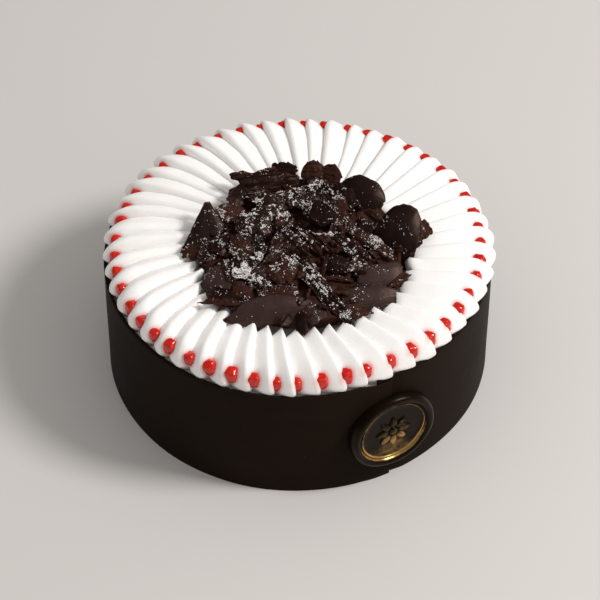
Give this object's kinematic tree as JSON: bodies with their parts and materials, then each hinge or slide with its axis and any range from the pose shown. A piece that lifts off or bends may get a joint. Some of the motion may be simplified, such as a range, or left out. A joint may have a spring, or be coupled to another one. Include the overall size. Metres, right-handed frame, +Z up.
{
  "type": "black forest cake",
  "caption": "Round whole cake in a dark chocolate collar with a plain seal, topped with piped cream petals, cherry gel drops and a heap of chocolate shavings.",
  "frame": {"origin": "middle of the flat underside, where the cake rests", "axes": "+Z up out of the cake's top, -Y out through the seal on its side"},
  "size_m": [0.203, 0.2082, 0.0985],
  "materials": {
    "frosted_cake": "matte white cream over sponge",
    "collar_chocolate": "smooth satin dark chocolate",
    "seal_chocolate": "moulded dark chocolate dusted with gold lustre",
    "piped_cream": "whipped cream, soft sheen, with glossy red gel drops",
    "shaved_chocolate": "broken dark chocolate with icing sugar"
  },
  "bodies": {
    "root": {"frosted_cake": "frosted_cake", "chocolate_collar": "collar_chocolate", "chocolate_seal": "seal_chocolate", "piped_cream": "piped_cream", "shavings_heap": "shaved_chocolate"}
  },
  "joints": []
}
